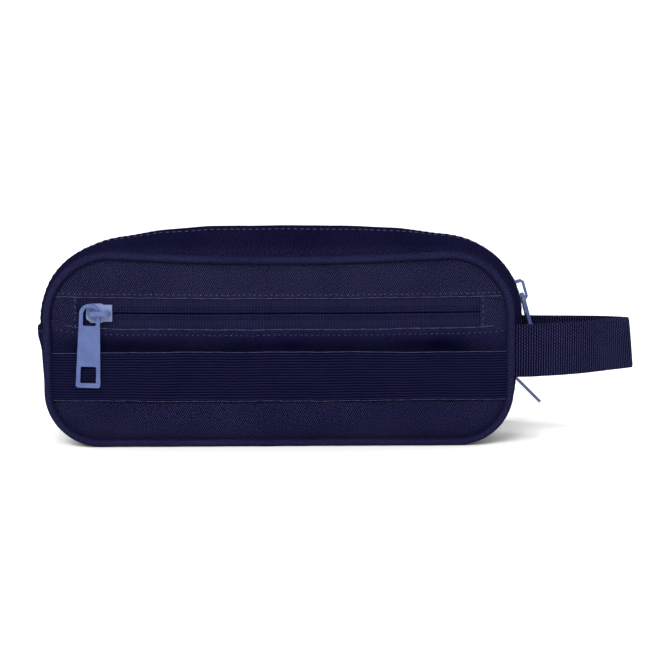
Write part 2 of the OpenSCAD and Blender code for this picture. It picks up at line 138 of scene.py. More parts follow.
def puff(d, y):
    """How far the gusset stands out from the seam outline."""
    h = half_way(d)
    keep, droop = settle(d, y)
    main = np.interp(h, *MAIN_TABLE) * keep * dome(y, MAIN_Y, MAIN_HALF, MAIN_WIN + 0.5) - droop
    rear = np.interp(h, *REAR_TABLE) * dome(y, REAR_Y, REAR_HALF, REAR_WIN + 0.5)
    share = np.interp(h, *SHARE_TABLE)
    flat = Z_LOW * np.minimum(1, (SEAM_Y - np.abs(y)) / 2)
    return (1 - share) * flat + share * np.where(y < DIV_Y, main, rear)


def skin(d, y, out=0.0):
    """Point of the gusset's skin, in millimetres, raised above its surface by out."""
    d, y, out = np.broadcast_arrays(*(np.asarray(q, float) for q in (d, y, out)))
    x, z, nx, nz = outline(d)
    e = 0.05
    slope = (puff(d, y + e) - puff(d, y - e)) / (2 * e)
    n = np.sqrt(1 + slope ** 2)
    r = puff(d, y) + out / n
    return np.stack([x + nx * r, y - out * slope / n, z + nz * r], -1)


# ---------------------------------------------------------------- mesh helpers
def noise1(x, seed, scale):
    """Smooth repeatable noise along one direction, from about -1 to 1."""
    r = np.random.RandomState(seed)
    x = np.asarray(x, float)
    total = 0 * x
    for k in range(4):
        wave = np.sin(x * (1 + 0.9 * k) / scale + r.uniform(0, 6.28))
        total = total + wave * r.uniform(0.3, 1) / (1 + k)
    return total / 1.6


def noise2(u, v, seed, scale):
    """Smooth repeatable noise over a surface, from about -1 to 1."""
    r = np.random.RandomState(seed)
    total = 0 * (np.asarray(u, float) + np.asarray(v, float))
    for k in range(7):
        a = r.uniform(0, 6.28)
        f = (0.6 + 0.35 * k) / scale
        wave = np.sin((u * math.cos(a) + v * math.sin(a)) * f + r.uniform(0, 6.28))
        total = total + wave / (1 + 0.35 * k)
    return total / 2.6


class Builder:
    """Collects grids into one mesh, with UVs in metres and a material for each part."""

    def __init__(self):
        self.v, self.f, self.uv, self.m, self.n = [], [], [], [], 0

    def grid(self, p, uv, mat=0, loop_u=False, loop_v=False):
        """p is (nu, nv, 3) and uv is (nu, nv, 2), both in millimetres."""
        nu, nv = p.shape[:2]
        a, b = np.meshgrid(np.arange(nu if loop_u else nu - 1),
                           np.arange(nv if loop_v else nv - 1), indexing="ij")
        a2, b2 = a + 1, b + 1
        quads = np.stack([(a % nu) * nv + b % nv, (a2 % nu) * nv + b % nv,
                          (a2 % nu) * nv + b2 % nv, (a % nu) * nv + b2 % nv], -1).reshape(-1, 4)
        # One more row and column of UVs, for the faces that close a loop.
        ext = np.concatenate([uv, uv[-1:] + (uv[-1:] - uv[-2:-1])], 0)
        ext = np.concatenate([ext, ext[:, -1:] + (ext[:, -1:] - ext[:, -2:-1])], 1)
        corner = np.stack([ext[a, b], ext[a2, b], ext[a2, b2], ext[a, b2]], -2)
        self.v.append(p.reshape(-1, 3))
        self.f.append(quads + self.n)
        self.uv.append(corner.reshape(-1, 4, 2))
        self.m.append(np.full(len(quads), mat))
        self.n += nu * nv

    def make(self, name, mats):
        me = bpy.data.meshes.new(name)
        v = np.concatenate(self.v) * MM
        f = np.concatenate(self.f)
        me.vertices.add(len(v))
        me.vertices.foreach_set("co", v.ravel())
        me.loops.add(f.size)
        me.loops.foreach_set("vertex_index", f.ravel().astype(np.int32))
        me.polygons.add(len(f))
        me.polygons.foreach_set("loop_start", np.arange(0, f.size, 4, dtype=np.int32))
        me.polygons.foreach_set("loop_total", np.full(len(f), 4, dtype=np.int32))
        me.polygons.foreach_set("use_smooth", np.full(len(f), True))
        me.polygons.foreach_set("material_index", np.concatenate(self.m).astype(np.int32))
        for m in mats:
            me.materials.append(m)
        me.update(calc_edges=True)
        layer = me.uv_layers.new(name="UVMap")
        layer.data.foreach_set("uv", (np.concatenate(self.uv) * MM).ravel())
        me.validate()
        ob = bpy.data.objects.new(name, me)
        bpy.context.scene.collection.objects.link(ob)
        return ob


def unit(v):
    return v / np.linalg.norm(v, axis=-1, keepdims=True)


def tube(b, path, r, sides=8, mat=0, closed=False, up=(0, -1.0, 0)):
    """A round tube along a path of points, in millimetres. r may change along it."""
    path = np.asarray(path, float)
    n = len(path)
    if closed:
        t = unit(np.roll(path, -1, 0) - np.roll(path, 1, 0))
    else:
        t = unit(np.gradient(path, axis=0))
    side = unit(np.cross(t, np.broadcast_to(np.asarray(up, float), path.shape)))
    nor = np.cross(side, t)
    a = np.arange(sides) * 2 * math.pi / sides
    rr = np.broadcast_to(np.asarray(r, float).reshape(-1, 1), (n, 1))
    around = side[:, None] * np.cos(a)[None, :, None] + nor[:, None] * np.sin(a)[None, :, None]
    step = np.linalg.norm(np.diff(path, axis=0), axis=1)
    along = np.concatenate([[0], np.cumsum(step)])
    uv = np.stack(np.meshgrid(along, a * float(np.max(rr)), indexing="ij"), -1)
    b.grid(path[:, None] + around * rr[:, None], uv, mat, loop_u=closed, loop_v=True)


# One thread's outline, as (place along its half length, share of its radius).
CAPSULE = [(-1.0, 0.05), (-0.8, 0.62), (-0.35, 0.95), (0.35, 0.95), (0.8, 0.62), (1.0, 0.05)]


def capsules(b, centres, dirs, ups, length, r, mat=0, sides=6):
    """Many short rounded threads, each lying along its direction, with its ends drawn in."""
    a = np.arange(sides) * 2 * math.pi / sides
    uv = np.stack(np.meshgrid(np.arange(len(CAPSULE)) * length / 5, a * r, indexing="ij"), -1)
    for c, t, u in zip(centres, dirs, ups):
        t = unit(t)
        s = unit(np.cross(t, u))
        w = np.cross(s, t)
        p = np.array([[c + t * length / 2 * q + (s * math.cos(x) + w * math.sin(x)) * r * k
                       - w * r * 0.9 * q * q for x in a] for q, k in CAPSULE])
        b.grid(p, uv, mat, loop_v=True)


def stitch_row(b, point, s0, s1, seed, pitch=3.0, length=2.2, r=0.17, lift=0.05):
    """Stitches along point(s, out), where s is a distance and out is a height above the cloth.
    They take the mesh's second material."""
    n = max(1, int(round((s1 - s0) / pitch)))
    s = s0 + (np.arange(n) + 0.5) * (s1 - s0) / n
    s = s + np.random.RandomState(seed).uniform(-0.2, 0.2, n)
    c = point(s, lift + 0 * s)
    t = point(s + 0.4, lift + 0 * s) - point(s - 0.4, lift + 0 * s)
    u = point(s, lift + 1 + 0 * s) - c
    capsules(b, c, t, u, length, r, 1)


# ---------------------------------------------------------------- materials
HOLLOW_Z, HOLLOW_HALF = 47.6, 4.6       # painted shade in the hollow between the pocket and the elastic
HOLLOW_END, HOLLOW_FADE = 113.0, 24.0   # where it fades out towards both ends
ROLL_Y, ROLL_HALF = -34.3, 2.6          # painted light: a paler band where the gusset turns over to the seam
PIPING_R, PIPING_OFF = 1.78, 0.42       # its radius, and how far it stands out from the seam


def new_mat(name, base, rough=0.8, sheen=0.0, metallic=0.0, coat=0.0, spec=0.0):
    m = bpy.data.materials.new(name)
    m.use_nodes = True
    nt = m.node_tree
    bsdf = nt.nodes["Principled BSDF"]
    bsdf.inputs["Base Color"].default_value = (*base, 1)
    bsdf.inputs["Roughness"].default_value = rough
    bsdf.inputs["Metallic"].default_value = metallic
    bsdf.inputs["Specular IOR Level"].default_value = spec
    if sheen:
        bsdf.inputs["Sheen Weight"].default_value = sheen
        bsdf.inputs["Sheen Roughness"].default_value = 0.45
        bsdf.inputs["Sheen Tint"].default_value = (0.16, 0.16, 0.5, 1)
    if coat:
        bsdf.inputs["Coat Weight"].default_value = coat
        bsdf.inputs["Coat Roughness"].default_value = 0.18
    return m, nt, bsdf


def maths(nt, op, *values):
    n = nt.nodes.new("ShaderNodeMath")
    n.operation = op
    for i, x in enumerate(values):
        if isinstance(x, (int, float)):
            n.inputs[i].default_value = x
        else:
            nt.links.new(x, n.inputs[i])
    return n.outputs[0]


def uv_mm(nt):
    """The UV map, and its two directions in millimetres."""
    uv = nt.nodes.new("ShaderNodeUVMap")
    uv.uv_map = "UVMap"
    sep = nt.nodes.new("ShaderNodeSeparateXYZ")
    nt.links.new(uv.outputs[0], sep.inputs[0])
    u, v = (maths(nt, "MULTIPLY", sep.outputs[i], 1000) for i in (0, 1))
    return uv.outputs[0], u, v


def ridge(nt, x, period):
    """A smooth ridge pattern from 0 to 1 along x."""
    s = maths(nt, "SINE", maths(nt, "MULTIPLY", x, 2 * math.pi / period))
    return maths(nt, "MULTIPLY_ADD", s, 0.5, 0.5)


def bell(nt, x, centre, half):
    """1 at the centre, falling away on both sides."""
    off = maths(nt, "DIVIDE", maths(nt, "SUBTRACT", x, centre), half)
    square = maths(nt, "MULTIPLY", off, off)
    return maths(nt, "EXPONENT", maths(nt, "MULTIPLY", square, -1.0))


def noise_tex(nt, vec, scale, detail=2.0):
    n = nt.nodes.new("ShaderNodeTexNoise")
    n.inputs["Scale"].default_value = scale
    n.inputs["Detail"].default_value = detail
    nt.links.new(vec, n.inputs["Vector"])
    return n.outputs["Fac"]


def shade_and_bump(nt, bsdf, height, shade, dark, light, distance, strength=1.0):
    """Colour from dark to light by shade, and a bump from height."""
    mix = nt.nodes.new("ShaderNodeMix")
    mix.data_type = "RGBA"
    nt.links.new(shade, mix.inputs[0])
    mix.inputs[6].default_value = (*dark, 1)
    mix.inputs[7].default_value = (*light, 1)
    nt.links.new(mix.outputs[2], bsdf.inputs["Base Color"])
    bump = nt.nodes.new("ShaderNodeBump")
    bump.inputs["Strength"].default_value = strength
    bump.inputs["Distance"].default_value = distance
    nt.links.new(height, bump.inputs["Height"])
    nt.links.new(bump.outputs[0], bsdf.inputs["Normal"])


def paint_hollow_shade(nt, vec, u, v, shade):
    """Paints shade into the colour of the hollow, unevenly, and less towards both ends."""
    uneven = maths(nt, "MULTIPLY_ADD", noise_tex(nt, vec, 30.0), 1.3, 0.1)
    reach = maths(nt, "SUBTRACT", HOLLOW_END, maths(nt, "ABSOLUTE", u))
    ends = maths(nt, "MAXIMUM", maths(nt, "DIVIDE", reach, HOLLOW_FADE), 0.1)
    uneven = maths(nt, "MULTIPLY", uneven, maths(nt, "MINIMUM", ends, 1.0))
    hollow_shade = maths(nt, "MULTIPLY", bell(nt, v, HOLLOW_Z, HOLLOW_HALF), uneven)
    keep = maths(nt, "SUBTRACT", 1.0, maths(nt, "MULTIPLY", hollow_shade, 0.95))
    return maths(nt, "MULTIPLY", shade, keep)


def twill(name, dark, light, angle=58.0, pitch=0.9, sheen=0.12, strength=0.9, place=None):
    """Twill: diagonal ribs crossed by finer threads, with slow random patches of painted light and
    shade standing in for broad slack in the cloth.
    place is the painted shade or light the material adds where it lies: hollow (painted shade),
    roll (painted light) or groove (painted shade at the sides, painted light in front)."""
    m, nt, bsdf = new_mat(name, light, 0.85, sheen)
    vec, u, v = uv_mm(nt)
    a = math.radians(angle)
    across = maths(nt, "ADD", maths(nt, "MULTIPLY", u, math.sin(a)),
                   maths(nt, "MULTIPLY", v, -math.cos(a)))
    wobble = maths(nt, "MULTIPLY", noise_tex(nt, vec, 260.0), 0.5)
    rib = ridge(nt, maths(nt, "ADD", across, wobble), pitch)
    fine = maths(nt, "MULTIPLY", ridge(nt, v, 0.42), ridge(nt, u, 0.5))
    h = maths(nt, "ADD", maths(nt, "MULTIPLY", rib, 0.75), maths(nt, "MULTIPLY", fine, 0.25))
    # painted light and shade: slow random patches standing in for the shading of broad slack
    patch = noise_tex(nt, vec, 35.0, 3.0)
    grain = noise_tex(nt, vec, 1500.0, 1.0)
    shade = maths(nt, "MULTIPLY", maths(nt, "POWER", h, 3.5),
                  maths(nt, "MULTIPLY_ADD", patch, 1.8, 0.35))
    shade = maths(nt, "ADD", shade, maths(nt, "MULTIPLY_ADD", grain, 1.3, -0.6))
    if place == "hollow":
        # painted shade in the hollow above the elastic
        shade = paint_hollow_shade(nt, vec, u, v, shade)
    elif place == "roll":
        # painted light on the band where the gusset turns towards the front
        painted_roll_light = maths(nt, "MULTIPLY_ADD", bell(nt, v, ROLL_Y, ROLL_HALF), 1.3, 1.0)
        shade = maths(nt, "MULTIPLY", shade, painted_roll_light)
    elif place == "groove":
        # painted shade at the piping's sides, where it meets panel and gusset, and painted light
        # on its front
        facing = maths(nt, "ABSOLUTE", maths(nt, "SINE", maths(nt, "DIVIDE", v, PIPING_R)))
        shade = maths(nt, "MULTIPLY", shade, maths(nt, "MULTIPLY_ADD", facing, 1.25, 0.05))
    shade_and_bump(nt, bsdf, h, shade, dark, light, 0.00022, strength)
    return m


def ribbed(name, dark, light, period, along="u", cross=0.6, depth=0.0002, wander=0.1, power=1.8):
    """Woven band with ribs: along u the ribs run along u and repeat across v."""
    m, nt, bsdf = new_mat(name, light, 0.82, 0.1)
    vec, u, v = uv_mm(nt)
    a, c = (v, u) if along == "u" else (u, v)
    wobble = maths(nt, "MULTIPLY", noise_tex(nt, vec, 180.0, 1.0), wander)
    rib = ridge(nt, maths(nt, "ADD", a, wobble), period)
    # Each rib's beads start half a bead further on than those of the rib before.
    shift = maths(nt, "MULTIPLY", maths(nt, "FLOOR", maths(nt, "DIVIDE", a, period)), cross / 2)
    beads = ridge(nt, maths(nt, "ADD", c, shift), cross)
    h = maths(nt, "ADD", maths(nt, "MULTIPLY", rib, 0.7), maths(nt, "MULTIPLY", beads, 0.3))
    patch = noise_tex(nt, vec, 60.0)
    grain = noise_tex(nt, vec, 1400.0, 1.0)
    shade = maths(nt, "MULTIPLY", maths(nt, "POWER", h, power),
                  maths(nt, "MULTIPLY_ADD", patch, 0.8, 0.8))
    shade = maths(nt, "ADD", shade, maths(nt, "MULTIPLY_ADD", grain, 0.7, -0.35))
    shade_and_bump(nt, bsdf, h, shade, dark, light, depth, 0.9)
    return m


def threads(name, base, sheen=0.3):
    m, nt, bsdf = new_mat(name, base, 0.6, sheen)
    _, u, v = uv_mm(nt)
    twist = ridge(nt, maths(nt, "ADD", u, maths(nt, "MULTIPLY", v, 1.4)), 0.35)
    shade_and_bump(nt, bsdf, twist, twist, tuple(x * 0.6 for x in base), base, 0.00008)
    return m


def paint(name, base, dark):
    """Satin paint on die-cast metal, with fine speckle and slow mottling."""
    m, nt, bsdf = new_mat(name, base, 0.42, coat=0.1, spec=0.35)
    place = nt.nodes.new("ShaderNodeTexCoord").outputs["Object"]
    speck = noise_tex(nt, place, 2600.0)
    mottle = noise_tex(nt, place, 160.0, 3.0)
    shade = maths(nt, "MULTIPLY_ADD", mottle, 0.9, maths(nt, "MULTIPLY_ADD", speck, 1.1, -0.2))
    shade_and_bump(nt, bsdf, speck, shade, dark, base, 0.00004, 0.35)
    nt.links.new(maths(nt, "MULTIPLY_ADD", mottle, 0.2, 0.32), bsdf.inputs["Roughness"])
    return m


PANEL = twill("panel_twill", (0.0005, 0.0005, 0.010), (0.036, 0.036, 0.079))
# The lower panel is the same cloth as the upper one; its paler threads are darker as painted
# shade, since it gets less light from above.
LOWER = twill("lower_panel_twill", (0.0005, 0.0005, 0.010), (0.029, 0.029, 0.070),
              place="hollow")
# The gusset's twill is a darker copy of the panel's: its cloth is a little darker, and the rest is
# painted shade, since the top gets less light than the front.
GUSSET = twill("gusset_twill", (0.0005, 0.0005, 0.0085), (0.0118, 0.0118, 0.034), angle=82.0,
               pitch=0.72, sheen=0.03, place="roll")
PIPING = twill("piping_twill", (0.001, 0.001, 0.014), (0.028, 0.028, 0.067), angle=62.0,
               pitch=0.62, strength=0.6, place="groove")
TAPE = ribbed("zip_tape", (0.0012, 0.0012, 0.014), (0.019, 0.019, 0.050), 0.7, "v", 0.5)
RIB = 1.28
ELASTIC = ribbed("elastic_rib", (0.0005, 0.0005, 0.010), (0.0113, 0.0113, 0.035), RIB, "u", 0.55,
                 0.0003, wander=0.03)
WEB_RIB = 1.25
WEBBING = ribbed("loop_webbing", (0.0002, 0.0002, 0.008), (0.03, 0.03, 0.074), WEB_RIB, "v", 1.5,
                 0.0005, power=3.2)
LINING = ribbed("grey_lining", (0.11, 0.115, 0.14), (0.2, 0.205, 0.24), 0.4, "u", 0.4, 0.00008)
THREAD = threads("navy_thread", (0.08, 0.08, 0.155))
# painted highlight: paler thread-like tubes along the folds and the band's edges, where they catch
# the light
EDGE_HIGHLIGHT = threads("fold_edge_painted_highlight", (0.08, 0.08, 0.15))
NEEDLE = threads("needle_holes", (0.0006, 0.0006, 0.006), 0.0)
COIL = threads("coil_nylon", (0.002, 0.002, 0.012), 0.0)
CORD = threads("cord_thread", (0.45, 0.45, 0.42))
METAL = paint("painted_zip_pull", (0.056, 0.086, 0.228), (0.016, 0.03, 0.094))
PLATE = paint("painted_zip_slider", (0.14, 0.17, 0.34), (0.07, 0.09, 0.22))
STEEL = new_mat("spring_steel", (0.6, 0.6, 0.62), 0.3, metallic=1.0, spec=0.5)[0]


# ---------------------------------------------------------------- sheets of cloth
def sheet_grid(b, pos, us, v0, v1, nv, thick, rounded=(True, True), uvf=None, nose=4, rate=1.0):
    """A sheet of cloth of real thickness, from pos(u, v, out). Rounded long edges are folded over.
    rate stretches the cloth direction across, where v isn't a true distance."""
    us = np.asarray(us, float)
    h = thick / 2
    hv = h / rate
    a = np.linspace(-math.pi / 2, math.pi / 2, nose + 2)[1:-1]
    run = np.linspace(v0 + (hv if rounded[0] else 0), v1 - (hv if rounded[1] else 0), nv)
    low = [(v0 + hv - hv * math.cos(x), -h + h * math.sin(x)) for x in a]
    high = [(v1 - hv + hv * math.cos(x), -h + h * math.sin(x)) for x in a[::-1]]
    top = [(v, 0.0) for v in run]
    bottom = [(v, -thick) for v in run[::-1]]

    def put(ring, closed=False):
        ring = np.array(ring)
        uu, vv = np.meshgrid(us, ring[:, 0], indexing="ij")
        step = np.hypot(np.diff(ring[:, 0]) * rate, np.diff(ring[:, 1]))
        travel = v0 + np.concatenate([[0], np.cumsum(step)])
        if uvf is None:
            uv = np.stack([uu, np.broadcast_to(travel, uu.shape)], -1)
        else:
            uv = uvf(uu, vv)
        b.grid(pos(uu, vv, np.broadcast_to(ring[:, 1], uu.shape)), uv, loop_v=closed)

    if rounded[0] and rounded[1]:
        put(low + top + high + bottom, True)
    elif rounded[1]:
        put(top + high + bottom)
        put([bottom[-1], top[0]])
    elif rounded[0]:
        put(bottom + low + top)
        put([top[-1], bottom[0]])
    else:
        put(top)
        put(bottom)
        put([bottom[-1], top[0]])
        put([top[-1], bottom[0]])
    for u, order in ((us[0], 1), (us[-1], -1)):
        vv = np.stack([run, run])
        depth = np.stack([0 * run, 0 * run - thick])[::order]
        b.grid(pos(np.full((2, nv), u), vv, depth), np.stack([depth, vv * rate], -1))


def done(b, name, mats, body, *nodes):
    """The finished mesh, riding on its body and standing for its nodes in the CAD."""
    ob = b.make(name, mats)
    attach(ob, body)
    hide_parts(*nodes)


def span(a, b, step=1.2):
    """Distances from a to b, about a step apart."""
    return np.linspace(a, b, max(3, int(abs(b - a) / step) + 1))


# ---------------------------------------------------------------- gusset
FRONT_EDGE, BACK_EDGE = -36.7, 36.7
FRONT_FOLD, MIDDLE_FOLD = MAIN_Y - MAIN_WIN, MAIN_Y + MAIN_WIN
INNER_FOLD, OUTER_FOLD = REAR_Y - REAR_WIN, REAR_Y + REAR_WIN
ZIP_START, ZIP_END = D_RIGHT + 0.1, D_LEFT - 0.1
WAVE, HEM_LIFT = 0.22, 1.3
SIDES = ((1, "right"), (-1, "left"))
# Strip, its nodes, its lip, the edge at the seam, the fold beside the zip, crease, stitch line.
STRIPS = [
    ("front_gusset_strip", "front_strip", "front_lip", FRONT_EDGE, FRONT_FOLD, -33.4,
     FRONT_FOLD - 3.4),
    ("middle_gusset_strip", "middle_strip", "middle_lip", DIV_Y - 0.1, MIDDLE_FOLD, 9.4,
     MIDDLE_FOLD + 1.7),
    ("rear_outer_gusset_strip", "rear_outer_strip", "rear_lip", BACK_EDGE, OUTER_FOLD, 34.1,
     OUTER_FOLD + 1.5),
]


def gusset(d, y, out):
    """Skin with slow slack waves, stronger towards the middle of a strip. There are none on the
    floor, and none beside the zips where the sliders run."""
    h = half_way(d)
    off_floor = np.clip((h - FLAT) / 20.0, 0, 1)
    seam = SEAM_Y - np.abs(y)
    edge = np.clip(seam / 6.0, 0, 1) * np.clip(np.abs(y - DIV_Y) / 4.0, 0, 1)
    wave = noise2(d, 1.6 * y, 11, 9.0) * 0.6 + noise2(d, 0.7 * y, 12, 4.0) * 0.25
    zips = np.exp(-((y - MAIN_Y) / 9.0) ** 4) + np.exp(-((y - REAR_Y) / 8.5) ** 4)
    wave = wave * (1 - np.minimum(1, zips) * np.clip((D_TOP + 4 - h) / 8.0, 0, 1))
    pucker = noise1(d, 13, 1.5) * np.exp(-(seam / 2.2) ** 2) * 0.12
    return skin(d, y, out + (wave * WAVE * edge + pucker) * off_floor)


def fold_row(b, y, d0, d1, seed):
    stitch_row(b, lambda s, o: gusset(s, y + 0 * s, o), d0, d1, seed)


def strip_sheet(b, d0, d1, inner, fold, nv=None):
    """Cloth from its inner edge to the fold beside the zip, or to a cut edge where nv is given."""
    v0, v1 = sorted((inner, fold))
    rounded = (False, False) if nv else (fold < inner, inner < fold)
    sheet_grid(b, gusset, span(d0, d1), v0, v1, nv or max(5, int((v1 - v0) / 0.9)), FABRIC,
               rounded=rounded)


def strip_ends(name, nodes, edge, fold, crease, stitch_y):
    """The strip at both ends, and the sewn band that stays with the case under the lip."""
    b = Builder()
    strip_sheet(b, ZIP_START, D_TOP, edge, fold)
    strip_sheet(b, TOP_L, ZIP_END, edge, fold)
    strip_sheet(b, D_TOP, TOP_L, edge, crease, 5)
    fold_row(b, stitch_y, D_RIGHT + 1, D_TOP, 5)
    fold_row(b, stitch_y, TOP_L, D_LEFT - 1, 6)
    done(b, name, [GUSSET, THREAD], "case", nodes + "_ends")


def lip_half(name, fill, mats, lip, node, sign):
    """Half of a lip, from the corner of the case to the middle of its mouth."""
    b = Builder()
    fill(b, *((D_TOP, D_MID) if sign > 0 else (D_MID, TOP_L)))
    ob = b.make(name, mats)
    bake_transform(ob)
    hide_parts(node)


for name, nodes, lip, edge, fold, crease, stitch_y in STRIPS:
    strip_ends(name, nodes, edge, fold, crease, stitch_y)
for sign, tag in SIDES:
    for name, nodes, lip, edge, fold, crease, stitch_y in STRIPS:
        def lip_cloth(b, d0, d1):
            strip_sheet(b, d0, d1, crease, fold)
            fold_row(b, stitch_y, d0, d1, 7)
        lip_half(f"{lip}_{tag}", lip_cloth, [GUSSET, THREAD], lip, nodes + "_top", sign)

b = Builder()
sheet_grid(b, gusset, span(ZIP_START, ZIP_END), DIV_Y + 0.1, INNER_FOLD, 8, FABRIC,
           rounded=(False, True))
fold_row(b, INNER_FOLD - 1.5, D_RIGHT + 1, D_LEFT - 1, 8)
done(b, "rear_inner_gusset_strip", [GUSSET, THREAD], "case", "rear_inner_strip")

b = Builder()
sheet_grid(b, gusset, span(ZIP_END + 0.2, D_ALL + ZIP_START - 0.2), FRONT_EDGE, BACK_EDGE, 76,
           FABRIC, rounded=(False, False))
done(b, "bottom_gusset_piece", [GUSSET, THREAD], "case", "bottom_gusset")


def hem_piece(name, d0, d1, node, seed):
    """The bottom piece's end, folded over the zips at d0 and flattening out towards d1."""
    b = Builder()

    def pos(y, d, out):
        t = np.clip((d - d0) / (d1 - d0), 0, 1)
        taper = (HEM_LIFT - 0.08) * smooth(np.clip((t - 0.3) / 0.65, 0, 1))
        lift = HEM_LIFT - taper + 0.25 * noise1(y, seed, 5.0) * t * (1 - t) * 2
        return skin(d, y, out + lift)
    sheet_grid(b, pos, span(FRONT_EDGE, BACK_EDGE, 0.8), min(d0, d1), max(d0, d1), 14, FABRIC)
    row = d0 + (d1 - d0) * 0.16
    stitch_row(b, lambda s, o: pos(s, row + 0 * s, o), FRONT_EDGE + 1.5, BACK_EDGE - 1.5, seed)
    done(b, name, [GUSSET, THREAD], "case", node)


hem_piece("hem_left", D_LEFT - 2, D_LEFT + 10, "gusset_hem_left", 21)
hem_piece("hem_right", D_RIGHT + 1.5, D_RIGHT - 10, "gusset_hem_right", 22)

# ---------------------------------------------------------------- zips
TAPE_T, COIL_T, TOOTH = 0.6, 2.0, 1.27
COIL_STEPS = 8                          # points on each loop of the coil
UNDER = FABRIC + 0.1                    # the tape lies under the gusset's cloth
ZIP_GAP = 0.3                           # from the zip's middle to the tape's edge
TIP_DEPTH = 0.12                        # how far below the tape's face the teeth show
# Rows of needle holes in the tape, as (place, length, shift along the row).
NEEDLE_ROWS = ((1.6, 0.8, 0.25), (2.75, 0.7, 0.75))


def tape_half(b, point, u0, u1, side, far):
    """Half of a zip's tape, raised over its coil, with the needle rows that hold the coil."""
    def pos(u, w, out):
        hump = 0.22 * np.exp(-((w - 1.9) / 1.0) ** 2) - 0.4 * np.exp(-(w / 0.35) ** 2)
        return point(u, side * w, out + hump)
    sheet_grid(b, pos, span(u0, u1), ZIP_GAP, far, 22, TAPE_T, rounded=(True, False), nose=3)
    n = int((u1 - u0) / TOOTH)
    for w, length, shift in NEEDLE_ROWS:
        s = u0 + (np.arange(n) + shift) * (u1 - u0) / n
        c = pos(s, w + 0 * s, 0.02 + 0 * s)
        t = (pos(s + 0.05, w + 0.25 + 0 * s, 0.02 + 0 * s)
             - pos(s - 0.05, w - 0.25 + 0 * s, 0.02 + 0 * s))
        up = pos(s, w + 0 * s, 1.02 + 0 * s) - c
        capsules(b, c, t, up, length, 0.3, 1, 4)


def coil_half(b, point, u0, u1, side):
    """The coil itself, one wound loop for each tooth, sewn under the tape."""
    n = int((u1 - u0) / TOOTH)
    t = np.arange(n * COIL_STEPS + 1) / COIL_STEPS
    turn = 2 * math.pi * t
    u = u0 + t * (u1 - u0) / n + (0.32 if side > 0 else 0)
    w = np.clip(1.45 - 1.75 * np.cos(turn), -0.35, 3.1)
    out = -TAPE_T - 1.05 - 0.62 * np.sin(turn)
    path = point(u, side * w, out)
    tube(b, path, 0.36, 6, up=point(u, side * w, out + 1) - path)


def coil_tips(b, point, u0, u1):
    """Tips of the teeth that show as a dotted line between the two halves of the tape."""
    n = int((u1 - u0) / TOOTH)
    s = u0 + (np.arange(n) + 0.5) * (u1 - u0) / n
    c = point(s, 0 * s, 0 * s - TIP_DEPTH)
    t = point(s, 0.1 + 0 * s, 0 * s - TIP_DEPTH) - c
    up = point(s, 0 * s, 0 * s + 1 - TIP_DEPTH) - c
    capsules(b, c, t, up, 1.0, 0.3, 0, 4)


def gusset_zip(mid):
    return lambda u, w, out: gusset(u, mid + w, out - UNDER)


main_zip = gusset_zip(MAIN_Y)
rear_zip = gusset_zip(REAR_Y)


def zip_side(which, half, point, side, far, lip=None):
    """Tape and coil of one side of a gusset zip. Where it has a lip, its top is made in two
    halves, like the lip's.
    """
    parts = (("tape", [TAPE, NEEDLE], lambda b, d0, d1: tape_half(b, point, d0, d1, side, far)),
             ("coil", [COIL], lambda b, d0, d1: coil_half(b, point, d0, d1, side)))
    end = "_ends" if lip else ""
    for part, mats, fill in parts:
        b = Builder()
        for d0, d1 in ((ZIP_START, D_TOP), (TOP_L, ZIP_END)) if lip else ((ZIP_START, ZIP_END),):
            fill(b, d0, d1)
        done(b, f"{which}_zip_{half}_{part}{end}", mats, "case", f"{which}_{part}_{half}{end}")
    if lip:
        for sign, tag in SIDES:
            for part, mats, fill in parts:
                lip_half(f"{which}_zip_{half}_{part}_top_{tag}", fill, mats, lip,
                         f"{which}_{part}_{half}_top", sign)


zip_side("main", "front", main_zip, -1, MAIN_WIN + 3.5, "front_lip")
zip_side("main", "rear", main_zip, 1, MAIN_WIN + 3.5, "middle_lip")
zip_side("rear", "inner", rear_zip, -1, REAR_WIN + 1.5)
zip_side("rear", "outer", rear_zip, 1, REAR_WIN + 1.5, "rear_lip")


def stop_bar(b, point, u):
    """An end stop: a short bar of stitches across the zip, under its tape."""
    deep = -TAPE_T - COIL_T - 0.6
    w = -2.7 + 0.9 * np.arange(7)
    c = point(u + 0 * w, w, deep + 0 * w)
    t = point(u + 1 + 0 * w, w, deep + 0 * w) - c
    up = point(u + 0 * w, w, deep + 1 + 0 * w) - c
    capsules(b, c, t, up, 2.2, 0.5, 0, 8)


for which, point in (("main", main_zip), ("rear", rear_zip)):
    b = Builder()
    for d in (D_RIGHT + 3, D_LEFT - 3):
        stop_bar(b, point, d)
    done(b, which + "_zip_stops_sewn", [THREAD], "case", which + "_zip_stops")

# ---------------------------------------------------------------- front panel and its zip
OUTER = -SEAM_Y - FABRIC                # y of the front panel's face
INSET = 0.5


def edge_heights(x, inset):
    """Lowest and highest z of the panel's outline at x."""
    x = np.abs(np.asarray(x, float))
    low_drop = (R_LOW - inset) ** 2 - np.maximum(0, x - FLAT) ** 2
    high_drop = (R_HIGH - inset) ** 2 - np.maximum(0, x - ARC_X) ** 2
    low = np.where(x < FLAT, Z_LOW + inset, SIDE_Z - np.sqrt(np.maximum(0, low_drop)))
    high = np.where(x < ARC_X, Z_HIGH - SAG * (1 - (x / ARC_X) ** 2) - inset,
                    ARC_Z + np.sqrt(np.maximum(0, high_drop)))
    return low, high


def edge_distance(x, z, inset):
    """Roughly how far a point of the panel is from its outline."""
    low, high = edge_heights(x, inset)
    side = HALF_W - inset - np.abs(x)
    return np.clip(np.minimum(np.minimum(z - low, high - z) * 0.85, side), 0, 99)


def hill(x, centre, half):
    return np.exp(-((x - centre) / half) ** 2)


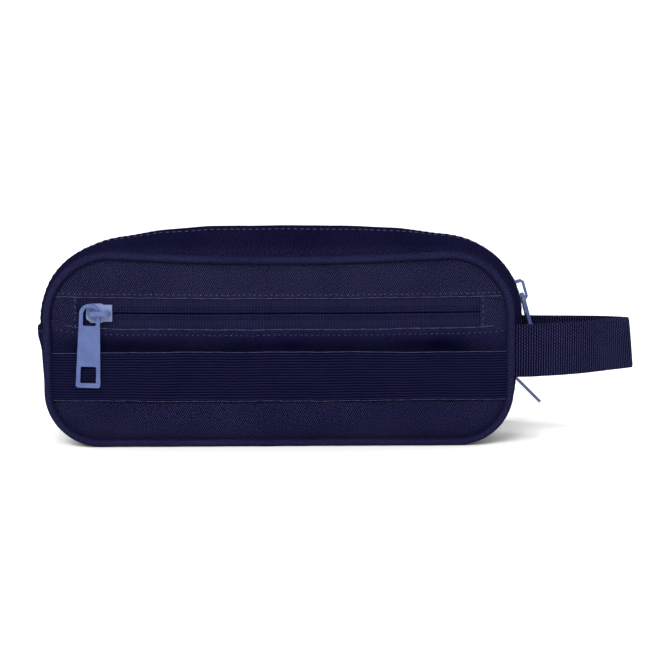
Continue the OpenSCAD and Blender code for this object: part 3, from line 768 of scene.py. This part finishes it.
def panel_relief(x, z):
    """How far the front panel stands out from its flat place. Only the top part may swell."""
    e = edge_distance(x, z, INSET)
    rim = -1.15 * np.exp(-e / 2.6)
    top = smooth(np.clip((z - 72.0) / 9.0, 0, 1))
    swell = top * (1 - np.exp(-e / 4.0)) * (1.4 + 0.5 * noise2(x, z * 1.5, 31, 16.0))
    down = np.clip((POCKET_Z - WIN_HALF - z) / 11.5, 0, 1) * np.clip((z - 20.0) / 5.0, 0, 1)
    hollow = (3.0 + 0.9 * noise1(x, 32, 15.0) + 1.2 * hill(x, 76, 13.0)
              - 2.0 * hill(x, -100, 14.0) - 1.4 * hill(x, 106, 11.0))
    dent = -hollow * down ** 1.3 * (1 - np.exp(-e / 6.0))
    pucker = 0.5 * noise2(x, z, 35, 4.5) * np.exp(-e / 6.5) * (1 - np.exp(-e / 1.2))
    low = np.clip((22.5 - z) / 6.0, 0, 1)
    sag = -low * (0.3 + 0.35 * noise2(x, z, 33, 10.0))
    slack = 0.16 * noise2(x, z * 1.4, 34, 6.0) - 0.16
    return rim + swell + dent + sag + slack + pucker


def fold_line(x, z0, seed, sag):
    """A sewn fold that isn't quite straight."""
    return (z0 - sag * (1 - (x / WIN_X) ** 2) + 0.28 * noise1(x, seed, 9.0)
            + 0.1 * noise1(x, seed + 1, 2.2))


def top_fold(x):
    return fold_line(x, POCKET_Z + WIN_HALF + 0.2, 41, 0.9)


def low_fold(x):
    rise = (2.6 * np.exp(-np.clip(HALF_W + x, 0, 99) / 10)
            + 1.3 * np.exp(-np.clip(HALF_W - x, 0, 99) / 10))
    return fold_line(x, POCKET_Z - WIN_HALF + 0.1, 43, 0.8) + rise


def ease_x(w, n):
    """Points across the panel, closer together at its rounded ends."""
    t = np.linspace(-1, 1, n)
    return w * (1.28 * t - 0.28 * t ** 3)


def panel_point(x, z, out):
    return np.stack([x + 0 * z, OUTER - panel_relief(x, z) - out, z + 0 * x], -1)


def upper_z(x, v):
    """From the fold above the zip, v = 0, to the crown, v = 1."""
    _, high = edge_heights(x, INSET)
    f = top_fold(x)
    return f + np.clip(v, 0, 1) * np.maximum(0, high - f)


def lower_z(x, v):
    """From the fold below the zip, v = 0, to the floor, v = 1."""
    low, _ = edge_heights(x, INSET)
    f = low_fold(x)
    return f - np.clip(v, 0, 1) * np.maximum(0, f - low)


def panel_piece(name, node, mat, to_z, fold, half, n, rate, row, edge):
    """One piece of the front panel, with the stitches and a paler tube of painted highlight along
    its fold.
    row is the stitches' (offset, inset, length, radius, lift, seed), edge the fold's line."""
    b = Builder()
    sheet_grid(b, lambda x, v, out: panel_point(x, to_z(x, v), out), ease_x(half, 190), 0, 1, n,
               FABRIC, rounded=(True, False), uvf=lambda x, v: np.stack([x, to_z(x, v)], -1),
               rate=rate)
    dz, inset, length, r, lift, seed = row
    stitch_row(b, lambda s, o: panel_point(s, fold(s) + dz, o), inset - half, half - inset, seed,
               2.55, length, r, lift)
    inset, r, seed = edge
    # painted highlight along the fold's edge
    x = np.linspace(inset - half, half - inset, 420)
    tube(b, panel_point(x, fold(x), -0.1), r * (0.75 + 0.45 * noise1(x, seed, 1.3)), 6, 2)
    done(b, name, [mat, THREAD, EDGE_HIGHLIGHT], "case", node)


half_top = ARC_X + math.sqrt((R_HIGH - INSET) ** 2 - (POCKET_Z + WIN_HALF - ARC_Z) ** 2) - 0.4
panel_piece("upper_panel", "front_panel_upper", PANEL, upper_z, top_fold, half_top, 30, 17.0,
            (1.6, 1, 1.2, 0.17, 0.02, 51), (0.6, 0.16, 53))
panel_piece("lower_panel", "front_panel_lower", LOWER, lower_z, low_fold, HALF_W - INSET, 66, 52.0,
            (-2.7, 2.0, 1.1, 0.16, 0.0, 52), (0.4, 0.18, 54))

COVER_LOW, COVER_HIGH = POCKET_Z - WIN_HALF - 0.9, POCKET_Z + WIN_HALF + 0.9
COVER_END, COVER_T = half_top + 1.2, 1.0
for sign, tag in ((-1, "left"), (1, "right")):
    def cover_point(z, x, out):
        wave = 0.12 * noise2(x, z, 61 + sign, 5.0)
        tuck = 0.5 * np.exp(-np.clip(COVER_END + 0.2 - np.abs(x), 0, 9) / 2)
        return np.stack([x + 0 * z, OUTER + 0.45 - out + wave + tuck, z + 0 * x], -1)
    b = Builder()
    near, far = sorted((sign * WIN_X, sign * COVER_END))
    sheet_grid(b, cover_point, np.linspace(COVER_LOW, COVER_HIGH, 24), near, far, 16, COVER_T,
               rounded=(sign > 0, sign < 0), uvf=lambda z, x: np.stack([x, z], -1))
    stitch_row(b, lambda s, o: cover_point(s, sign * (WIN_X + 1.3) + 0 * s, o), COVER_LOW + 1,
               COVER_HIGH - 1, 62, 2.7, 1.6, 0.18, 0.02)
    done(b, "zip_cover_" + tag, [PANEL, THREAD], "case", "pocket_cover_" + tag)


def pocket_zip(x, w, out):
    sag = -0.5 * (1 - (x / 98.0) ** 2) + 0.12 * noise1(x, 71, 12.0)
    return np.stack([x + 0 * w, -SEAM_Y - out + 0 * w, POCKET_Z + w + sag], -1)


for side, tag in ((1, "upper"), (-1, "lower")):
    b = Builder()
    tape_half(b, pocket_zip, -97.9, 97.9, side, WIN_HALF + 3.4)
    done(b, "pocket_zip_tape_" + tag, [TAPE, NEEDLE], "case", "pocket_tape_" + tag)
    b = Builder()
    coil_half(b, pocket_zip, -90.9, 90.9, side)
    if side > 0:
        coil_tips(b, pocket_zip, -78.0, 76.4)  # between the slider's two ends of travel
    done(b, "pocket_zip_coil_" + tag, [COIL], "case", "pocket_coil_" + tag)
b = Builder()
for x in (-92.0, 92.0):
    stop_bar(b, pocket_zip, x)
done(b, "pocket_stops_sewn", [THREAD], "case", "pocket_stops")

# ---------------------------------------------------------------- elastic, its ribs in the mesh
BAND_Z, BAND_W, BAND_T, BAND_Y = 21.5, 23.3, 0.75, -38.02
BAND_X = HALF_W - INSET - 0.4
RIB_H = 0.16


def band_pos(x, z, out):
    t = (z - BAND_Z) / BAND_W
    wave = 0.7 * noise1(x, 81, 26.0) * (t - 0.5) + 0.16 * noise1(x, 82, 6.0)
    bow = (0.25 - 0.5 * (1 - (x / HALF_W) ** 2)) * (1 - t)
    inside = np.clip(np.minimum(z - BAND_Z - 0.9, BAND_Z + BAND_W - 0.9 - z) / 0.5, 0, 1)
    rib = RIB_H * np.cos(2 * math.pi * (z - BAND_Z) / RIB) * inside * (out > -0.3)
    tuck = 0.5 * np.exp(-np.clip(BAND_X - np.abs(x), 0, 9) / 1.6)
    give = 0.12 * noise2(x, z * 1.3, 83, 13.0) + tuck
    return np.stack([x + 0 * z, BAND_Y - out - rib + give, z + wave + bow], -1)


b = Builder()
sheet_grid(b, band_pos, ease_x(BAND_X, 150), BAND_Z, BAND_Z + BAND_W, 150, BAND_T,
           uvf=lambda x, z: np.stack([x, z - BAND_Z + RIB / 4], -1))
# painted highlight along both edges of the band
for z in (BAND_Z + 0.3, BAND_Z + BAND_W - 0.3):
    x = np.linspace(-BAND_X + 1, BAND_X - 1, 420)
    tube(b, band_pos(x, z + 0 * x, -0.02 + 0 * x), 0.13 * (0.8 + 0.4 * noise1(x, 84, 1.1)), 6, 1)
done(b, "elastic", [ELASTIC, EDGE_HIGHLIGHT], "case", "elastic_band")


# ---------------------------------------------------------------- whole panels
def whole_panel(name, node, mat, y_face, facing, inset, thick, relief):
    """A panel cut to the whole outline, facing along y."""
    b = Builder()

    def to_z(x, v):
        low, high = edge_heights(x, inset)
        return low + v * np.maximum(0.01, high - low)

    def pos(x, v, out):
        z = to_z(x, v)
        return np.stack([x + 0 * z, y_face + facing * (relief(x, z) + out), z], -1)
    sheet_grid(b, pos, ease_x(HALF_W - inset, 170), 0, 1, 50, thick, rounded=(False, False),
               uvf=lambda x, v: np.stack([x, to_z(x, v)], -1), rate=84)
    done(b, name, [mat], "case", node)


def back_relief(x, z):
    e = edge_distance(x, z, INSET)
    swell = (1 - np.exp(-e / 14.0)) * (2.1 + 0.8 * noise2(x, z, 91, 22.0))
    return -1.3 * np.exp(-e / 2.4) + swell + 0.15 * noise2(x, z, 92, 6.0)


def divider_relief(x, z):
    return 0.35 * noise2(x, z, 93, 20.0)


def lining_relief(x, z):
    e = edge_distance(x, z, 2.45)
    return 5.2 * (1 - np.exp(-e / 2.5)) + 0.25 * noise2(x, z, 94, 9.0) * (1 - np.exp(-e / 3.0))


whole_panel("back_panel", "rear_panel", PANEL, SEAM_Y + FABRIC, 1, INSET, FABRIC, back_relief)
whole_panel("divider", "divider_panel", LINING, DIV_Y - 0.5, -1, 2.65, 1.0, divider_relief)
whole_panel("pocket_bag", "pocket_lining", LINING, -SEAM_Y + 1.25, 1, 2.45, 0.5, lining_relief)


# ---------------------------------------------------------------- piping
def piping_piece(name, y, node, join):
    """A tube round the whole seam, with a short overlap where its ends join."""
    b = Builder()
    d = np.linspace(0, D_ALL, 521)[:-1]
    x, z, nx, nz = outline(d)
    r = PIPING_R + 0.05 * noise1(d, 101, 7.0) + 0.025 * noise1(d, 102, 1.7)
    off = PIPING_OFF + 0.12 * noise1(d, 103, 17.0)
    path = np.stack([x + nx * off, y + 0.1 * noise1(d, 104, 19.0), z + nz * off], -1)
    tube(b, path, r, 22, closed=True)
    x, z, nx, nz = outline(np.linspace(join - 9, join, 12))
    path = np.stack([x + nx * PIPING_OFF, y + 0 * x, z + nz * PIPING_OFF], -1)
    tube(b, path, [1.7] + [1.95] * 10 + [1.72], 22)
    done(b, name, [PIPING], "case", node)


piping_piece("front_piping", -SEAM_Y - 1.6, "piping_front", D_ALL - 2.5)
piping_piece("back_piping", SEAM_Y + 1.6, "piping_rear", 30.0)

# ---------------------------------------------------------------- wrist loop
LOOP_Z, LOOP_W, LOOP_T = 31.9, 25.0, 1.4
LOOP_X, LOOP_Y = 170.0, -9.0            # the loop's tip
TIP_RAISE, TIP_LEAN, TIP_REACH = 1.1, 2.3, 1.6


def bezier(start, middle, end):
    t = np.linspace(0, 1, 90)[:, None]
    a, c, e = (np.array(q, float) for q in (start, middle, end))
    return (1 - t) ** 2 * a + 2 * t * (1 - t) * c + t * t * e


# The loop seen from above: out from the front seam, round its tip and back to the divider's seam.
front_run = bezier((HALF_W + 1.0, -SEAM_Y + 0.7), (140, -33), (LOOP_X - 1.2, LOOP_Y - 0.9))
rear_run = bezier((LOOP_X - 1.2, LOOP_Y + 0.9), (140, 9), (HALF_W + 0.4, DIV_Y - 0.7))
bend = np.linspace(-1.15, 1.15, 9)[1:-1, None]
tip = np.concatenate([LOOP_X - 1.25 + 1.2 * np.cos(bend), LOOP_Y + 1.0 * np.sin(bend)], 1)
plan = np.concatenate([front_run, tip, rear_run])
arc = np.concatenate([[0], np.cumsum(np.linalg.norm(np.diff(plan, axis=0), axis=1))])
along = unit(np.gradient(plan, axis=0))
loop_x, loop_y, out_x, out_y = plan[:, 0], plan[:, 1], along[:, 1], -along[:, 0]
tip_s = arc[len(front_run) + 4]


def loop_pos(s, z, out):
    x, y, ox, oy = (np.interp(s, arc, q) for q in (loop_x, loop_y, out_x, out_y))
    near, far = hill(s, tip_s, 12.0), hill(s, tip_s, 30.0)
    x = x + near * (TIP_REACH - TIP_LEAN * (z - LOOP_Z) / LOOP_W)
    zz = LOOP_Z + (z - LOOP_Z) * (1 - 0.01 * near) + TIP_RAISE * far + 0.12 * noise1(s, 111, 8.0)
    inside = np.clip(np.minimum(z - LOOP_Z - 0.8, LOOP_Z + LOOP_W - 0.8 - z) / 0.5, 0, 1)
    rib = 0.15 * np.sin(2 * math.pi * s / WEB_RIB) * inside
    o = out + 0.25 * noise2(s, z, 112, 12.0) + np.where(out > -LOOP_T / 2, rib, -rib)
    return np.stack([x + ox * o, y + oy * o, zz], -1)


b = Builder()
sheet_grid(b, loop_pos, np.linspace(0, arc[-1], 700), LOOP_Z, LOOP_Z + LOOP_W, 26, LOOP_T)
done(b, "webbing_loop", [WEBBING], "case", "wrist_loop")

# ---------------------------------------------------------------- metal and cords, from the CAD
for name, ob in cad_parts.items():
    metal = "slider" in name or name.endswith("_pull")
    if metal:
        mat = PLATE if name.endswith("body") else METAL
    elif name.endswith("lock_spring"):
        mat = STEEL
    elif name.startswith("piping_cord"):
        mat = CORD
    else:
        continue
    ob.data.materials.clear()
    ob.data.materials.append(mat)
    if metal:
        bevel = ob.modifiers.new("round", "BEVEL")
        bevel.width = (0.42 if name.endswith("_pull") else 0.5 if "bridge" in name else 0.3) * MM
        bevel.segments = 4
        bevel.limit_method = "ANGLE"
        bevel.angle_limit = math.radians(35)
        bevel.use_clamp_overlap = True
        for p in ob.data.polygons:
            p.use_smooth = True
        ob.modifiers.new("normals", "WEIGHTED_NORMAL").keep_sharp = True

# ---------------------------------------------------------------- stage, light and camera
FLOOR_FRONT, FLOOR_BACK, FLOOR_HALF, FLOOR_TOP, COVE = -2.6, 1.6, 3.5, 3.2, 0.8


def look_at(ob, target):
    ob.rotation_euler = (Vector(target) - ob.location).to_track_quat("-Z", "Y").to_euler()


# A white floor that curves up behind the case.
prof = [(FLOOR_FRONT, 0.0), (FLOOR_BACK, 0.0)]
prof += [(FLOOR_BACK + COVE * math.sin(a), COVE - COVE * math.cos(a))
         for a in np.linspace(0.1, math.pi / 2, 12)]
prof += [(FLOOR_BACK + COVE, FLOOR_TOP)]
verts = [(x, y, z) for y, z in prof for x in (-FLOOR_HALF, FLOOR_HALF)]
faces = [(2 * i, 2 * i + 1, 2 * i + 3, 2 * i + 2) for i in range(len(prof) - 1)]
me = bpy.data.meshes.new("floor")
me.from_pydata(verts, [], faces)
me.materials.append(new_mat("floor_white", (0.9, 0.9, 0.9), 0.9)[0])
for p in me.polygons:
    p.use_smooth = True
floor = bpy.data.objects.new("floor", me)
bpy.context.scene.collection.objects.link(floor)

# The sky is white to the camera, and lights the case at half that strength.
world = bpy.data.worlds.new("studio")
bpy.context.scene.world = world
world.use_nodes = True
sky = world.node_tree
sky.nodes["Background"].inputs[0].default_value = (1, 1, 1, 1)
seen = sky.nodes.new("ShaderNodeLightPath").outputs["Is Camera Ray"]
sky.links.new(maths(sky, "MULTIPLY_ADD", seen, 0.5, 0.5), sky.nodes["Background"].inputs[1])


def area(name, place, target, size, power):
    light = bpy.data.lights.new(name, "AREA")
    light.shape = "RECTANGLE"
    light.size, light.size_y = size
    light.energy = power
    ob = bpy.data.objects.new(name, light)
    bpy.context.scene.collection.objects.link(ob)
    ob.location = place
    look_at(ob, target)


area("key", (-0.4, -1.3, 0.95), (0, 0, 0.05), (0.8, 0.6), 25)
area("fill", (1.2, -0.9, 0.7), (0.05, 0, 0.05), (1.0, 0.8), 5)
area("top", (0.0, 0.1, 1.5), (0, 0.1, 0), (1.6, 1.2), 5)
area("backdrop_left", (-1.4, 0.6, 1.3), (0, 2.0, 0.4), (1.2, 1.2), 26)
area("backdrop_right", (1.4, 0.6, 1.3), (0, 2.0, 0.4), (1.2, 1.2), 26)
area("floor_front", (0, -1.7, 1.4), (0, -2.6, 0), (3.0, 1.0), 26)
area("floor_left", (-1.8, 0, 1.4), (-3.0, 0, 0), (3.0, 1.0), 22)
area("floor_right", (1.8, 0, 1.4), (3.0, 0, 0), (3.0, 1.0), 22)

# The camera, fitted to the photograph: turned a little to the right and looking slightly down.
AZ, EL, DIST = math.radians(1.74), math.radians(6.27), 0.9
TARGET = np.array([0.02693, 0.0, 0.04837])
SENSOR, LENS = 36.0, 99.0914
fwd = np.array([math.sin(AZ) * math.cos(EL), math.cos(AZ) * math.cos(EL), -math.sin(EL)])
cam = bpy.data.cameras.new("camera")
cam.sensor_width = SENSOR
cam.lens = LENS
cam_ob = bpy.data.objects.new("camera", cam)
bpy.context.scene.collection.objects.link(cam_ob)
cam_ob.location = TARGET - fwd * DIST
look_at(cam_ob, TARGET)
bpy.context.scene.camera = cam_ob
bpy.context.scene.view_settings.view_transform = "Standard"
